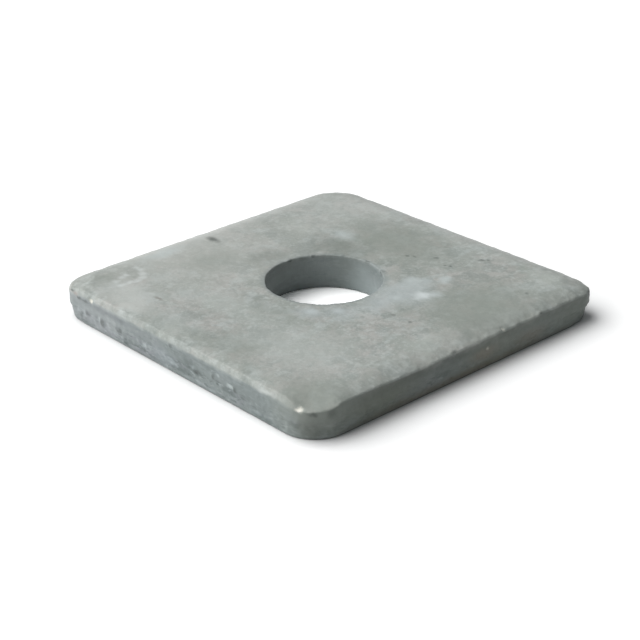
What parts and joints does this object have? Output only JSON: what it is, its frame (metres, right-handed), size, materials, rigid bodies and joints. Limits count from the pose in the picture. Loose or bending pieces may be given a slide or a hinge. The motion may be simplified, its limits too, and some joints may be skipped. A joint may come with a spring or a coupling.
{
  "type": "square plate washer",
  "caption": "Square steel plate washer with rounded corners, a round bolt hole and a die-rolled upper edge, hot-dip galvanised.",
  "frame": {"origin": "middle of the resting face, on the axis of the bolt hole", "axes": "+Z along the bolt hole, out of the die-rolled face; X and Y square to the four sides"},
  "size_m": [0.06, 0.06, 0.006],
  "materials": {
    "galvanised_steel": "hot-dip galvanised, weathered to a dull mottled grey"
  },
  "bodies": {
    "root": {"plate_washer": "galvanised_steel"}
  },
  "joints": []
}
